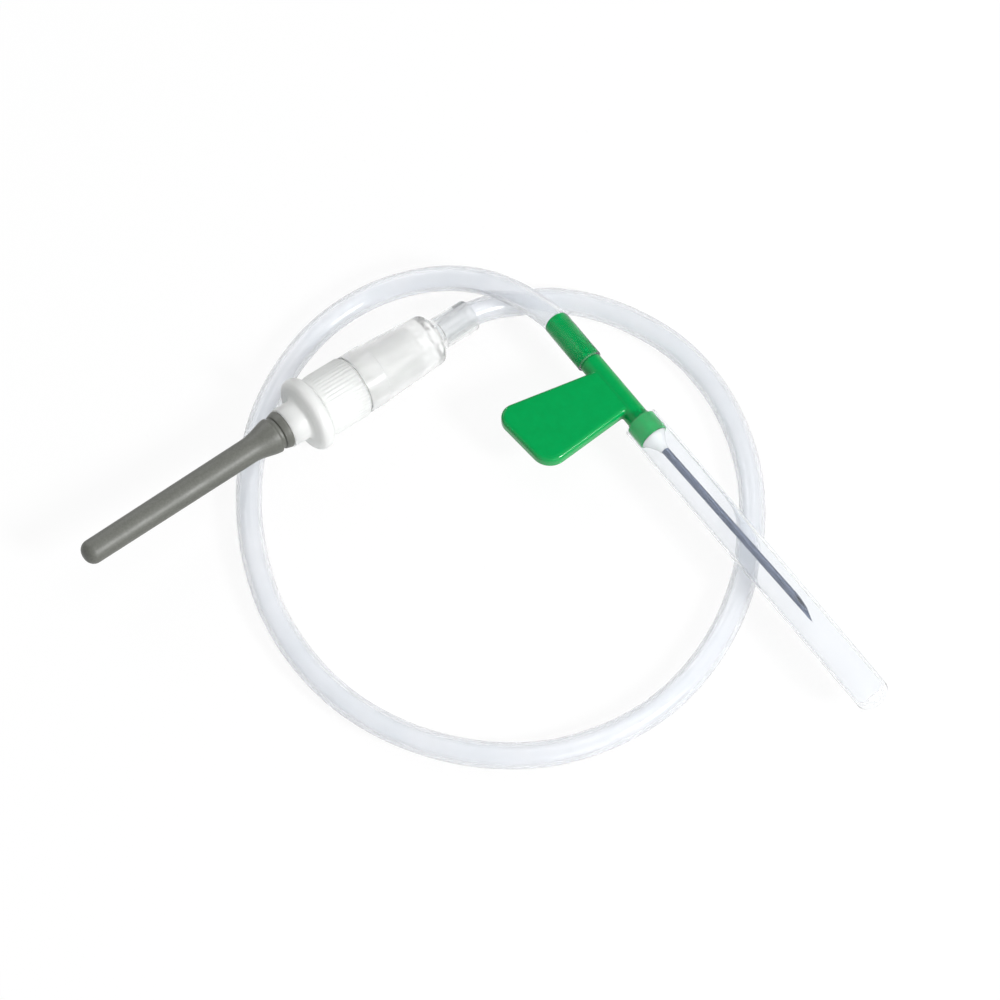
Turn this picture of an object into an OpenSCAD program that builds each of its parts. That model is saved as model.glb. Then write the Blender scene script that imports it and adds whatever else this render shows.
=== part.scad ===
// Butterfly needle: a single-wing blood-collection set, as it lies with its tube in one loop.
// Millimetres, +Z up. The set lies on the plane z = 0 and the origin is at the middle of its
// rigid pieces. A piece turned about a line is drawn along its own X axis, from the end that
// holds the tube, and placed with on_adapter() or on_hub().

/* [Tube] */
// Outer diameter of the tube
tube_d = 2.75; // [2.3:0.05:2.9]
// Room all round between the tube and the socket that holds it
tube_fit = 0.01; // [0:0.01:0.05]

/* [Clear connector] */
// Wall of the socket that holds the tube
socket_wall = 0.42; // [0.3:0.02:0.8]
// Length of that socket outside the barrel
socket_len = 5.0; // [4:0.1:8]
// How deep the tube sits in it
socket_depth = 4.2; // [3:0.1:6]
// Diameter of the channel that joins the tube to the barrel
channel_d = 1.7; // [1:0.1:2]
// Diameter of the barrel at its shoulder
barrel_d = 5.8; // [5.6:0.1:8]
// Diameter of the barrel at its open end
barrel_mouth_d = 6.75; // [5.8:0.05:8]
// Length of the barrel
barrel_len = 10.5; // [9.5:0.1:14]
// Radius of the barrel's rounded shoulder
shoulder_r = 0.8; // [0.2:0.1:1]
// Length of the raised band at the barrel's open end
band_len = 2.5; // [1:0.1:4]
// Height of that band
band_h = 0.06; // [0.02:0.02:0.2]

/* [Luer taper] */
// Diameter of the male cone where it meets the adapter
luer_d = 4.27; // [4.2:0.01:4.4]
// Length of the male cone
luer_len = 7.5; // [6:0.1:8]
// Loss of diameter for each millimetre of cone
luer_slope = 0.06; // [0.04:0.01:0.08]
// Room all round between the two cones
luer_fit = 0.03; // [0.01:0.01:0.1]
// Room between the end of the male cone and the bottom of the female one
luer_end_gap = 0.6; // [0.2:0.1:1]

/* [Adapter] */
// Gap of the seam between the barrel and the collar
seam_gap = 0.14; // [0.05:0.01:0.3]
// Diameter of the collar under its ribs
collar_d = 6.8; // [5.6:0.1:8]
// Length of the collar
collar_len = 5.1; // [4:0.1:8]
// Number of grip ribs round the collar
ribs = 48; // [12:4:60]
// Height of a rib
rib_h = 0.1; // [0.05:0.01:0.3]
// Smooth length between the ribs and the flange
plain_len = 0.7; // [0.4:0.1:2]
// Diameter of the flange
flange_d = 8.3; // [7.8:0.1:12]
// Thickness of the flange
flange_t = 1.7; // [1.2:0.1:3]
// Radius of the flange's rounded rim
flange_edge = 0.7; // [0.2:0.1:0.8]
// Diameter of the smooth nose
nose_d = 4.5; // [4:0.1:5.5]
// Length of the nose from the flange to the sleeve
nose_len = 2.3; // [2:0.1:6]
// Radius of the hollow fillet between the flange and the nose
nose_fillet = 0.5; // [0.1:0.1:0.8]
// Diameter of the nipple that holds the sleeve
nipple_d = 2.4; // [2:0.1:2.7]
// Length of the nipple
nipple_len = 3.2; // [2:0.1:3.4]

/* [Rubber sleeve] */
// Length of the sleeve
sleeve_len = 25.2; // [22:0.1:34]
// Diameter of its long shaft behind the bell
sleeve_d = 2.8; // [2.6:0.1:3.4]
// Diameter of the shaft before its tip
sleeve_tip_d = 2.65; // [2.6:0.05:3.2]
// How far the soft sleeve leans off the adapter's line, in degrees
sleeve_lean = 1.0; // [0:0.1:1]
// Diameter at the widest part of its bell
bell_d = 4.0; // [3.4:0.1:4.4]
// Length of the bell
bell_len = 3.4; // [3:0.1:5]
// Diameter of the ring at its mouth
mouth_ring_d = 4.25; // [3.8:0.05:5]
// Length of that ring
mouth_ring_len = 0.9; // [0.6:0.1:1.6]
// Diameter in the groove behind the ring
groove_d = 3.5; // [3.2:0.1:3.7]
// Width of the groove
groove_len = 0.45; // [0.3:0.05:0.8]
// Wall of the shaft
sleeve_wall = 0.5; // [0.3:0.05:0.5]
// Radius of its rounded tip
sleeve_tip_r = 1.1; // [0.5:0.1:1.2]
// Room all round between the sleeve and the nipple
sleeve_fit = 0.02; // [0.01:0.01:0.1]

/* [Needles] */
// Outer diameter of both needles
needle_d = 0.82; // [0.6:0.02:1]
// Diameter of their bore
needle_bore_d = 0.51; // [0.3:0.01:0.55]
// Angle of the ground bevel
bevel_deg = 17; // [12:1:30]
// Angle of the two side grinds at the point
point_deg = 24; // [18:1:40]
// How far the side grinds are rolled round the needle
point_roll = 38; // [20:1:60]
// Length of the front needle outside the bond
needle_out = 24.4; // [15:0.1:30]
// Length of the front needle that the hub holds
needle_held = 7; // [5:0.5:7]
// Length of the rear needle outside the nipple
back_out = 18.6; // [10:0.1:18.8]
// Length of the rear needle that the adapter holds
back_held = 6; // [4:0.5:7]
// Room all round between a needle and what holds it
needle_fit = 0.005; // [0.005:0.005:0.02]

/* [Wing hub] */
// Diameter of the spigot that the tube is pushed over
spigot_d = 1.95; // [1.6:0.05:2.2]
// Length of the spigot, and of the tube on it
spigot_len = 6.4; // [5:0.1:6.4]
// Radius of its rounded end
spigot_end_r = 0.3; // [0.05:0.05:0.3]
// Diameter of the shaft
shaft_d = 2.5; // [2:0.05:2.8]
// Length of the shaft from the tube's end to the sheath's mouth
shaft_len = 9.0; // [8:0.1:14]
// Length of the plug that carries the sheath
plug_len = 2.4; // [1.6:0.1:5]
// Diameter of the channel inside
hub_channel_d = 1.3; // [0.9:0.1:1.5]
// Length of the bond's cone
bond_len = 1.9; // [1:0.1:3]
// Diameter of the bond on the plug's face
bond_d = 2.9; // [2:0.1:3.1]

/* [Wing] */
// Thickness of the wing
wing_t = 1.6; // [1.2:0.1:2]
// Height of the wing's top face over the needle's line
wing_top = 1.1; // [0.7:0.05:1.1]
// Distance from the tube's end to the back edge of the wing's root
wing_back = 1.7; // [0.6:0.1:2.4]
// Length of the wing's root along the shaft
wing_root_len = 5.7; // [4:0.1:6]
// How far its outer corner at the tube's side reaches from the needle's line
wing_back_span = 12.1; // [8:0.1:16]
// How far its outer corner at the needle's side reaches
wing_front_span = 11.7; // [8:0.1:16]
// How far its outer end reaches back past its root
wing_sweep = 2.1; // [0:0.1:3]
// Length of its outer end
wing_tip_len = 8.4; // [6:0.1:11]
// Radius of its outer corner at the tube's side
wing_back_r = 1.6; // [1:0.1:2.5]
// Radius of its outer corner at the needle's side
wing_front_r = 2.2; // [1:0.1:2.5]
// Radius of its rounded edges
wing_edge = 0.45; // [0.1:0.05:0.6]

/* [Sheath] */
// Outer diameter at the mouth
sheath_d = 3.9; // [3.7:0.05:5]
// Outer diameter before the closed end
sheath_end_d = 3.66; // [3.6:0.02:5]
// Wall of the sheath
sheath_wall = 0.28; // [0.2:0.02:0.4]
// Room all round between the sheath and the plug
sheath_fit = 0.05; // [0.03:0.01:0.1]
// Length of the sheath
sheath_len = 39.9; // [36:0.1:55]
// Radius of its rounded end
sheath_end_r = 1.2; // [0.4:0.1:1.5]
// Thickness of its closed end
sheath_end_t = 0.8; // [0.4:0.1:2]

/* [How it lies] */
// Place of the adapter's tube end, left to right
adapter_x = -1.3; // [-6:0.1:4]
// Place of the adapter's tube end, front to back
adapter_y = 22.8; // [18:0.1:28]
// Heading of the adapter, seen from above
adapter_yaw = 217.7; // [210:0.1:228]
// Place of the hub's tube end, left to right
hub_x = 7.7; // [4:0.1:12]
// Place of the hub's tube end, front to back
hub_y = 20.7; // [16:0.1:24]
// Heading of the hub, seen from above
hub_yaw = -54.2; // [-64:0.1:-44]
// Clear height between the tube on the table and the sheath that crosses over it
crossing_gap = 0.2; // [0.1:0.05:0.6]

/* [Hidden] */
$fn = 64;
eps = 0.01;

// The tube's centre line, from inside the clear connector round to the end of the hub's spigot
ROUTE = [
    [-4.6, 20.25, 2.75], [-2.9, 21.55, 2.6], [-1.3, 22.8, 2.45], [1.0, 23.95, 2.1], [3.6, 24.65, 1.7],
    [7.5, 25.2, 1.4], [12.0, 24.4, 1.4], [16.7, 22.3, 1.4], [21.0, 19.1, 1.4], [24.6, 14.4, 1.4],
    [27.0, 9.0, 1.4], [28.2, 3.2, 1.4], [28.2, -2.7, 1.4], [27.2, -8.4, 1.4], [25.1, -14.0, 1.4],
    [22.0, -19.0, 1.4], [17.8, -23.3, 1.4], [12.8, -26.3, 1.4], [7.2, -28.1, 1.4], [1.5, -28.4, 1.4],
    [-4.2, -27.4, 1.4], [-9.6, -25.2, 1.4], [-14.4, -21.9, 1.4], [-18.4, -17.5, 1.4],
    [-21.5, -12.2, 1.4], [-23.4, -6.5, 1.4], [-24.3, -0.8, 1.4], [-24.3, 5.0, 1.4],
    [-23.2, 11.0, 1.4], [-20.8, 16.7, 1.4], [-17.3, 21.6, 1.4], [-12.8, 25.2, 1.5], [-8.0, 26.8, 2.3],
    [-3.3, 26.6, 3.7], [0.6, 25.4, 4.7], [3.6, 23.9, 4.9], [5.8, 22.4, 4.9], [7.7, 20.7, 4.9],
    [11.4, 15.5, 4.9]
];
TUBE_SIDES = 8;

// Places along the adapter's line
barrel_s = socket_len;
seam_s = barrel_s + barrel_len;
collar_s = seam_s + seam_gap;
flange_s = collar_s + collar_len;
nose_s = flange_s + flange_t;
sleeve_s = nose_s + nose_len;
nipple_s = sleeve_s + nipple_len;
luer_tip_s = collar_s - luer_len;
socket_d = tube_d + 2 * (tube_fit + socket_wall);
rim_r = 0.3;

// Places along the hub's line
shaft_s = spigot_len;
plug_s = shaft_s + shaft_len;
plug_end_s = plug_s + plug_len;
bond_end_s = plug_end_s + bond_len;
needle_s = plug_end_s - needle_held;
needle_tip_s = bond_end_s + needle_out;
plug_d = sheath_d - 2 * (sheath_wall + sheath_fit);
wing_s = shaft_s + wing_back;

// The adapter lies on the barrel's rounded shoulder and on the rim of its flange
round_r = barrel_d / 2 - shoulder_r;
round_s = barrel_s + shoulder_r;
rise_r = (flange_d / 2 - flange_edge) - round_r;
rise_s = (flange_s + flange_edge) - round_s;
adapter_pitch = acos((shoulder_r - flange_edge) / norm([rise_r, rise_s])) - atan(rise_s / rise_r);
adapter_z = round_r * cos(adapter_pitch) + shoulder_r - round_s * sin(adapter_pitch);
hub_z = tube_d + crossing_gap + sheath_d / 2;

// Points of an arc about c, from angle a0 to a1
function arc(c, r, a0, a1, n = 6) =
    [for (i = [0:n]) let (a = a0 + (a1 - a0) * i / n) [c[0] + r * cos(a), c[1] + r * sin(a)]];

// Radius of the male cone at a place along the adapter
function luer_r(s) = luer_d / 2 - (collar_s - s) * luer_slope / 2;

// Radius of the sleeve's bell, from its edge at t = 0 to the shaft at t = 1
bell_fullness = 0.85;
function bell_r(t) =
    sleeve_d / 2 + (bell_d - sleeve_d) / 2 * (1 + cos(180 * pow(t, bell_fullness))) / 2;

// Places a piece drawn along X on the adapter's line
module on_adapter() {
    translate([adapter_x, adapter_y, adapter_z]) rotate([0, -adapter_pitch, adapter_yaw]) children();
}

// Places the sleeve, which leans off the adapter's line at its mouth
module on_sleeve() {
    on_adapter() translate([sleeve_s, 0, 0]) rotate([0, 0, sleeve_lean]) children();
}

// Places a piece drawn along X on the hub's line
module on_hub() {
    translate([hub_x, hub_y, hub_z]) rotate([0, 0, hub_yaw]) children();
}

// Turns a profile of [radius, place] points about X
module turned(profile) {
    rotate([0, 90, 0]) rotate_extrude() polygon(profile);
}

// A straight round bore along X
module bore(d, from, to) {
    translate([from, 0, 0]) rotate([0, 90, 0]) cylinder(d = d, h = to - from);
}

// One ring of the tube at point i, square to the way the route runs there
function route_way(i) =
    let (a = ROUTE[max(i - 1, 0)], b = ROUTE[min(i + 1, len(ROUTE) - 1)]) (b - a) / norm(b - a);
function tube_ring(i) =
    let (w = route_way(i), side = cross([0, 0, 1], w) / norm(cross([0, 0, 1], w)), up = cross(w, side))
    [for (k = [0:TUBE_SIDES - 1]) let (a = (k + 0.5) * 360 / TUBE_SIDES)
        ROUTE[i] + tube_d / 2 * (cos(a) * side + sin(a) * up)];

module tube() {
    last = len(ROUTE) - 1;
    points = [for (i = [0:last]) each tube_ring(i)];
    walls = [for (i = [0:last - 1], k = [0:TUBE_SIDES - 1])
        let (a = i * TUBE_SIDES + k, b = i * TUBE_SIDES + (k + 1) % TUBE_SIDES)
        [a, a + TUBE_SIDES, b + TUBE_SIDES, b]];
    ends = [[for (k = [0:TUBE_SIDES - 1]) k],
            [for (k = [TUBE_SIDES - 1:-1:0]) last * TUBE_SIDES + k]];
    color([0.90, 0.91, 0.95, 0.6]) polyhedron(points, concat(walls, ends));
}

module luer_connector() {
    socket_r = socket_d / 2;
    tube_r = tube_d / 2 + tube_fit;
    barrel_r = barrel_d / 2;
    band_s = seam_s - band_len;
    bottom_s = luer_tip_s - luer_end_gap;
    profile = concat(
        [[tube_r, 0]],
        arc([socket_r - rim_r, rim_r], rim_r, -90, 0),
        [[socket_r, barrel_s]],
        arc([barrel_r - shoulder_r, barrel_s + shoulder_r], shoulder_r, -90, 0),
        [[barrel_mouth_d / 2 - band_h, band_s], [barrel_mouth_d / 2, band_s + band_h],
         [barrel_mouth_d / 2, seam_s - band_h], [barrel_mouth_d / 2 - band_h, seam_s],
         [luer_r(seam_s) + luer_fit, seam_s], [luer_r(bottom_s) + luer_fit, bottom_s],
         [channel_d / 2, bottom_s], [channel_d / 2, socket_depth], [tube_r, socket_depth]]);
    color([0.93, 0.95, 0.96, 0.45]) on_adapter() turned(profile);
}

// Outline of the ribbed collar, with four points for each rib
function rib_outline(lo, hi) =
    [for (i = [0:ribs - 1], p = [[0.0, lo], [0.2, hi], [0.5, hi], [0.7, lo]])
        let (a = (i + p[0]) * 360 / ribs) [p[1] * cos(a), p[1] * sin(a)]];

module collar_ribs() {
    core_r = collar_d / 2 - rib_h;
    translate([collar_s + rib_h, 0, 0]) rotate([0, 90, 0])
        linear_extrude(collar_len - plain_len - rib_h) difference() {
            polygon(rib_outline(collar_d / 2, collar_d / 2 + rib_h));
            circle(r = core_r);
        }
}

module adapter_body() {
    collar_r = collar_d / 2;
    flange_r = flange_d / 2;
    nose_r = nose_d / 2;
    soft = 0.3;
    profile = concat(
        [[channel_d / 2, luer_tip_s], [luer_r(luer_tip_s), luer_tip_s],
         [luer_r(collar_s), collar_s], [collar_r, collar_s]],
        arc([collar_r + soft, flange_s - soft], soft, 180, 90),
        arc([flange_r - flange_edge, flange_s + flange_edge], flange_edge, -90, 0),
        arc([flange_r - flange_edge, nose_s - flange_edge], flange_edge, 0, 90),
        arc([nose_r + nose_fillet, nose_s + nose_fillet], nose_fillet, 270, 180),
        [[nose_r, sleeve_s - rib_h], [nose_r - rib_h, sleeve_s], [nipple_d / 2, sleeve_s],
         [nipple_d / 2, nipple_s - soft], [nipple_d / 2 - soft, nipple_s],
         [needle_d / 2 + needle_fit, nipple_s],
         [needle_d / 2 + needle_fit, nipple_s - back_held],
         [channel_d / 2, nipple_s - back_held]]);
    color([0.95, 0.96, 0.93, 0.85]) on_adapter() union() {
        turned(profile);
        collar_ribs();
    }
}

module rubber_sleeve() {
    ring_r = mouth_ring_d / 2;
    bell_s = mouth_ring_len + groove_len;
    tip_r = sleeve_tip_d / 2;
    held_r = nipple_d / 2 + sleeve_fit;
    hollow_r = tip_r - sleeve_wall;
    hollow_end_s = sleeve_len - 2 * sleeve_wall;
    soft = 0.2;
    neck_s = nipple_len + soft;
    neck_end_s = neck_s + 2 * soft;
    bell_steps = 12;
    profile = concat(
        [[held_r, 0]],
        arc([ring_r - soft, soft], soft, -90, 0, 4),
        arc([ring_r - soft, mouth_ring_len - soft], soft, 0, 90, 4),
        [[groove_d / 2, mouth_ring_len], [groove_d / 2, bell_s]],
        [for (i = [0:bell_steps]) [bell_r(i / bell_steps), bell_s + bell_len * i / bell_steps]],
        arc([tip_r - sleeve_tip_r, sleeve_len - sleeve_tip_r], sleeve_tip_r, 0, 90),
        [[0, sleeve_len], [0, hollow_end_s], [hollow_r, hollow_end_s - soft],
         [hollow_r, neck_end_s], [held_r, neck_s]]);
    color([0.30, 0.30, 0.27]) on_sleeve() turned(profile);
}

// A hollow needle along X whose ground point is at the far end, its bevel facing up
module ground_needle(length) {
    r = needle_d / 2;
    reach = 3 * needle_d / tan(bevel_deg);
    difference() {
        bore(needle_d, 0, length);
        bore(needle_bore_d, -eps, length + eps);
        translate([length, 0, -r]) rotate([0, bevel_deg, 0])
            translate([-reach, -needle_d, 0]) cube([2 * reach, 2 * needle_d, 2 * needle_d]);
        for (side = [-1, 1])
            rotate([side * point_roll, 0, 0]) translate([length - r / 2, 0, -r]) rotate([0, point_deg, 0])
                translate([-reach, -needle_d, 0]) cube([2 * reach, 2 * needle_d, 2 * needle_d]);
    }
}

module back_needle() {
    color([0.70, 0.72, 0.75]) on_adapter()
        translate([nipple_s - back_held, 0, 0]) ground_needle(back_held + back_out);
}

module needle_cannula() {
    color([0.55, 0.58, 0.63]) on_hub()
        translate([needle_s, 0, 0]) ground_needle(needle_tip_s - needle_s);
}

// A disc with rounded edges, one corner of the wing
module wing_corner(s, w, r) {
    edge = min(wing_edge, r - eps);
    translate([s, -w, wing_top - wing_t / 2]) rotate_extrude($fn = 40)
        polygon(concat(
            [[0, -wing_t / 2]],
            arc([r - edge, edge - wing_t / 2], edge, -90, 0, 4),
            arc([r - edge, wing_t / 2 - edge], edge, 0, 90, 4),
            [[0, wing_t / 2]]));
}

module wing() {
    // The root's corners are nearly sharp and lie inside the shaft
    root_r = wing_edge + 0.1;
    root_w = root_r - shaft_d / 6;
    tip_s = wing_s - wing_sweep;
    hull() {
        wing_corner(wing_s + root_r, root_w, root_r);
        wing_corner(wing_s + wing_root_len - root_r, root_w, root_r);
        wing_corner(tip_s + wing_back_r, wing_back_span - wing_back_r, wing_back_r);
        wing_corner(tip_s + wing_tip_len - wing_front_r, wing_front_span - wing_front_r, wing_front_r);
    }
}

module wing_hub() {
    spigot_r = spigot_d / 2;
    shaft_r = shaft_d / 2;
    plug_r = plug_d / 2;
    soft = 0.12;
    profile = concat(
        [[0, 0]],
        arc([spigot_r - spigot_end_r, spigot_end_r], spigot_end_r, -90, 0, 4),
        [[spigot_r, shaft_s], [shaft_r, shaft_s], [shaft_r, plug_s], [plug_r - soft, plug_s + eps],
         [plug_r, plug_s + soft]],
        arc([plug_r - soft, plug_end_s - soft], soft, 0, 90, 3),
        [[0, plug_end_s]]);
    color([0.0, 0.62, 0.31]) on_hub() difference() {
        union() {
            turned(profile);
            wing();
        }
        bore(hub_channel_d, -eps, needle_s);
        bore(needle_d + 2 * needle_fit, needle_s - eps, plug_end_s + eps);
    }
}

module needle_bond() {
    inner_r = needle_d / 2 + needle_fit;
    outer_r = bond_d / 2;
    lip = 0.06;
    hollowness = 1.6;
    steps = 8;
    profile = concat(
        [[inner_r, plug_end_s]],
        [for (i = [0:steps]) let (t = i / steps)
            [inner_r + lip + (outer_r - inner_r - lip) * pow(1 - t, hollowness),
             plug_end_s + bond_len * t]],
        [[inner_r, bond_end_s]]);
    color([0.97, 0.97, 0.97]) on_hub() turned(profile);
}

module needle_sheath() {
    mouth_r = sheath_d / 2;
    end_r = sheath_end_d / 2;
    end_s = plug_s + sheath_len;
    lip = 0.12;
    inner_end_r = end_r - sheath_wall;
    inner_round = sheath_end_r - sheath_wall;
    profile = concat(
        arc([mouth_r - lip, plug_s + lip], lip, -90, 0, 3),
        arc([end_r - sheath_end_r, end_s - sheath_end_r], sheath_end_r, 0, 90),
        [[0, end_s], [0, end_s - sheath_end_t]],
        arc([inner_end_r - inner_round, end_s - sheath_end_t - inner_round], inner_round, 90, 0),
        [[mouth_r - sheath_wall, plug_s + lip], [mouth_r - sheath_wall + lip / 2, plug_s]]);
    color([0.93, 0.94, 0.97, 0.35]) on_hub() turned(profile);
}

tube();
luer_connector();
adapter_body();
rubber_sleeve();
back_needle();
wing_hub();
needle_bond();
needle_cannula();
needle_sheath();
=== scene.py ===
"""Looks of a butterfly needle set that lies with its tube in one loop.

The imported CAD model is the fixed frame. Sizes here are in millimetres, as in the part's source, and
every mesh is scaled to metres once it is in place.
"""

import logging
import math
from abc import ABC, abstractmethod
from dataclasses import dataclass, field
from enum import Enum
from typing import Callable, Sequence

import bmesh
import bpy
from mathutils import Matrix, Vector


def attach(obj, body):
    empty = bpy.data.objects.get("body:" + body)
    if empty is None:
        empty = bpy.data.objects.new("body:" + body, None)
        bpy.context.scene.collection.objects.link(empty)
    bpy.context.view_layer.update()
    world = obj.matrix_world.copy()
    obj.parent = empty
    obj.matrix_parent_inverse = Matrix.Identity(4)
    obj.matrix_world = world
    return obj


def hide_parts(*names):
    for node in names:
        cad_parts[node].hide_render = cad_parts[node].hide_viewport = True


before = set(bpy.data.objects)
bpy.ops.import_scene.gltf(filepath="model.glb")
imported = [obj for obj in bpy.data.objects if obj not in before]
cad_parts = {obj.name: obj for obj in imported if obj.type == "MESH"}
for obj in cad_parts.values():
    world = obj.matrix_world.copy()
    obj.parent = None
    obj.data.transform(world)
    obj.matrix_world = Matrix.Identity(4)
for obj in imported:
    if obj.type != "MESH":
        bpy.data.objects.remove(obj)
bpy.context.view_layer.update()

MM = 0.001
log = logging.getLogger("butterfly_needle")

Pair = tuple[float, float]
Point = tuple[float, float, float]
Colour = tuple[float, float, float]
Socket = bpy.types.NodeSocket
Mesh = bmesh.types.BMesh
Vert = bmesh.types.BMVert
Piece = bpy.types.Object
Material = bpy.types.Material


class Body(Enum):
    """The two CAD bodies that pieces ride on."""

    SET = "set"
    SHEATH = "sheath"


class Slot(Enum):
    """The record's material slots."""

    TUBE = "tube"
    CLEAR = "clear_plastic"
    IVORY = "ivory_plastic"
    RUBBER = "sleeve_rubber"
    STEEL = "needle_steel"
    GREEN = "green_plastic"
    BOND = "bond"
    GUARD = "sheath_plastic"


# ---------------------------------------------------------------- places and outlines


@dataclass(frozen=True)
class Line:
    """A straight line that turned pieces are drawn along, from its start along its own X.

    Args:
        start: Where the line starts, in millimetres.
        yaw: Its heading seen from above, in degrees.
        pitch: How steeply it rises, in degrees.
    """

    start: Point
    yaw: float
    pitch: float = 0.0

    def matrix(self) -> Matrix:
        """Returns the placing matrix of a piece drawn along X."""
        turn = Matrix.Rotation(math.radians(self.yaw), 4, "Z")
        rise = Matrix.Rotation(math.radians(-self.pitch), 4, "Y")
        return Matrix.Translation(Vector(self.start)) @ turn @ rise

    def at(self, place: float) -> Vector:
        """Returns the point at a place on the line, in millimetres."""
        return self.matrix() @ Vector((place, 0, 0))

    def leaning(self, place: float, degrees: float) -> Matrix:
        """Returns the matrix of a line that starts at a place on this one and leans sideways off it.

        Args:
            place: Distance along this line.
            degrees: The lean, counted as this line's yaw is.

        Returns:
            The placing matrix of the leaning line.
        """
        lean = Matrix.Rotation(math.radians(degrees), 4, "Z")
        return self.matrix() @ Matrix.Translation(Vector((place, 0, 0))) @ lean


def arc(centre: Pair, radius: float, start: float, end: float, steps: int = 8) -> list[Pair]:
    """Points of an arc in a profile.

    Args:
        centre: Radius and place of the arc's centre.
        radius: The arc's own radius.
        start: First angle in degrees.
        end: Last angle in degrees.
        steps: Number of steps between them.

    Returns:
        The points, ends included.
    """
    points = []
    for i in range(steps + 1):
        angle = math.radians(start + (end - start) * i / steps)
        points.append((centre[0] + radius * math.cos(angle), centre[1] + radius * math.sin(angle)))
    return points


class MeshBench:
    """Makes the meshes of the set, in millimetres, and turns them into placed objects in metres."""

    @staticmethod
    def lathe(
        profile: Sequence[tuple[float, ...]], segments: int = 96, wave: Callable[[float], float] | None = None
    ) -> Mesh:
        """Turns a closed profile about X.

        Args:
            profile: Points of radius, place and, where it is ribbed, rib height; radius 0 lies on the axis.
            segments: Number of steps round.
            wave: The ribs' shape, from 0 to 1, by the angle in radians.

        Returns:
            A closed mesh.
        """
        mesh = bmesh.new()
        rings: list[list[Vert]] = []
        for radius, place, *rib in profile:
            if radius == 0:
                rings.append([mesh.verts.new((place, 0, 0))])
                continue
            ring = []
            for k in range(segments):
                angle = 2 * math.pi * k / segments
                out = radius + rib[0] * wave(angle) if rib else radius
                ring.append(mesh.verts.new((place, out * math.sin(angle), out * math.cos(angle))))
            rings.append(ring)
        MeshBench.skin(mesh, rings)
        return mesh

    @staticmethod
    def skin(mesh: Mesh, rings: Sequence[list[Vert]]) -> None:
        """Joins each ring to the next and the last to the first, and turns the faces outwards.

        Args:
            mesh: The mesh that holds the rings.
            rings: Rings of one length; a ring may also be one point.
        """
        for i, ring in enumerate(rings):
            MeshBench._bridge(mesh, ring, rings[(i + 1) % len(rings)])
        bmesh.ops.recalc_face_normals(mesh, faces=mesh.faces)

    @staticmethod
    def _bridge(mesh: Mesh, a: list[Vert], b: list[Vert]) -> None:
        """Joins two neighbouring rings, either of which may be one point."""
        count = max(len(a), len(b))
        if count == 1:
            return
        for k in range(count):
            j = (k + 1) % count
            corners = [a[k % len(a)], a[j % len(a)], b[j % len(b)], b[k % len(b)]]
            unique = list(dict.fromkeys(corners))
            if len(unique) > 2:
                mesh.faces.new(unique)

    @staticmethod
    def place(
        mesh: Mesh, name: str, matrix: Matrix, crease: float | None = 35.0
    ) -> Piece:
        """Makes an object of a mesh that is in millimetres.

        Args:
            mesh: The mesh, which is used up.
            name: The object's name.
            matrix: Where it goes, in millimetres.
            crease: Edges sharper than this many degrees stay crisp; None keeps all soft.

        Returns:
            The new object, with its mesh in metres and its origin at the frame's.
        """
        mesh.transform(Matrix.Scale(MM, 4) @ matrix)
        data = bpy.data.meshes.new(name)
        mesh.to_mesh(data)
        mesh.free()
        data.shade_smooth()
        if crease is not None:
            data.set_sharp_from_angle(angle=math.radians(crease))
        piece = bpy.data.objects.new(name, data)
        bpy.context.scene.collection.objects.link(piece)
        return piece

    @staticmethod
    def baked(piece: Piece) -> Mesh:
        """Applies a piece's modifiers and takes the piece away.

        Args:
            piece: The object with modifiers.

        Returns:
            The mesh with its modifiers applied.
        """
        bpy.context.view_layer.update()
        graph = bpy.context.evaluated_depsgraph_get()
        data = bpy.data.meshes.new_from_object(piece.evaluated_get(graph))
        mesh = bmesh.new()
        mesh.from_mesh(data)
        bpy.data.objects.remove(piece, do_unlink=True)
        bpy.data.meshes.remove(data)
        return mesh


# ---------------------------------------------------------------- finishes


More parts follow.
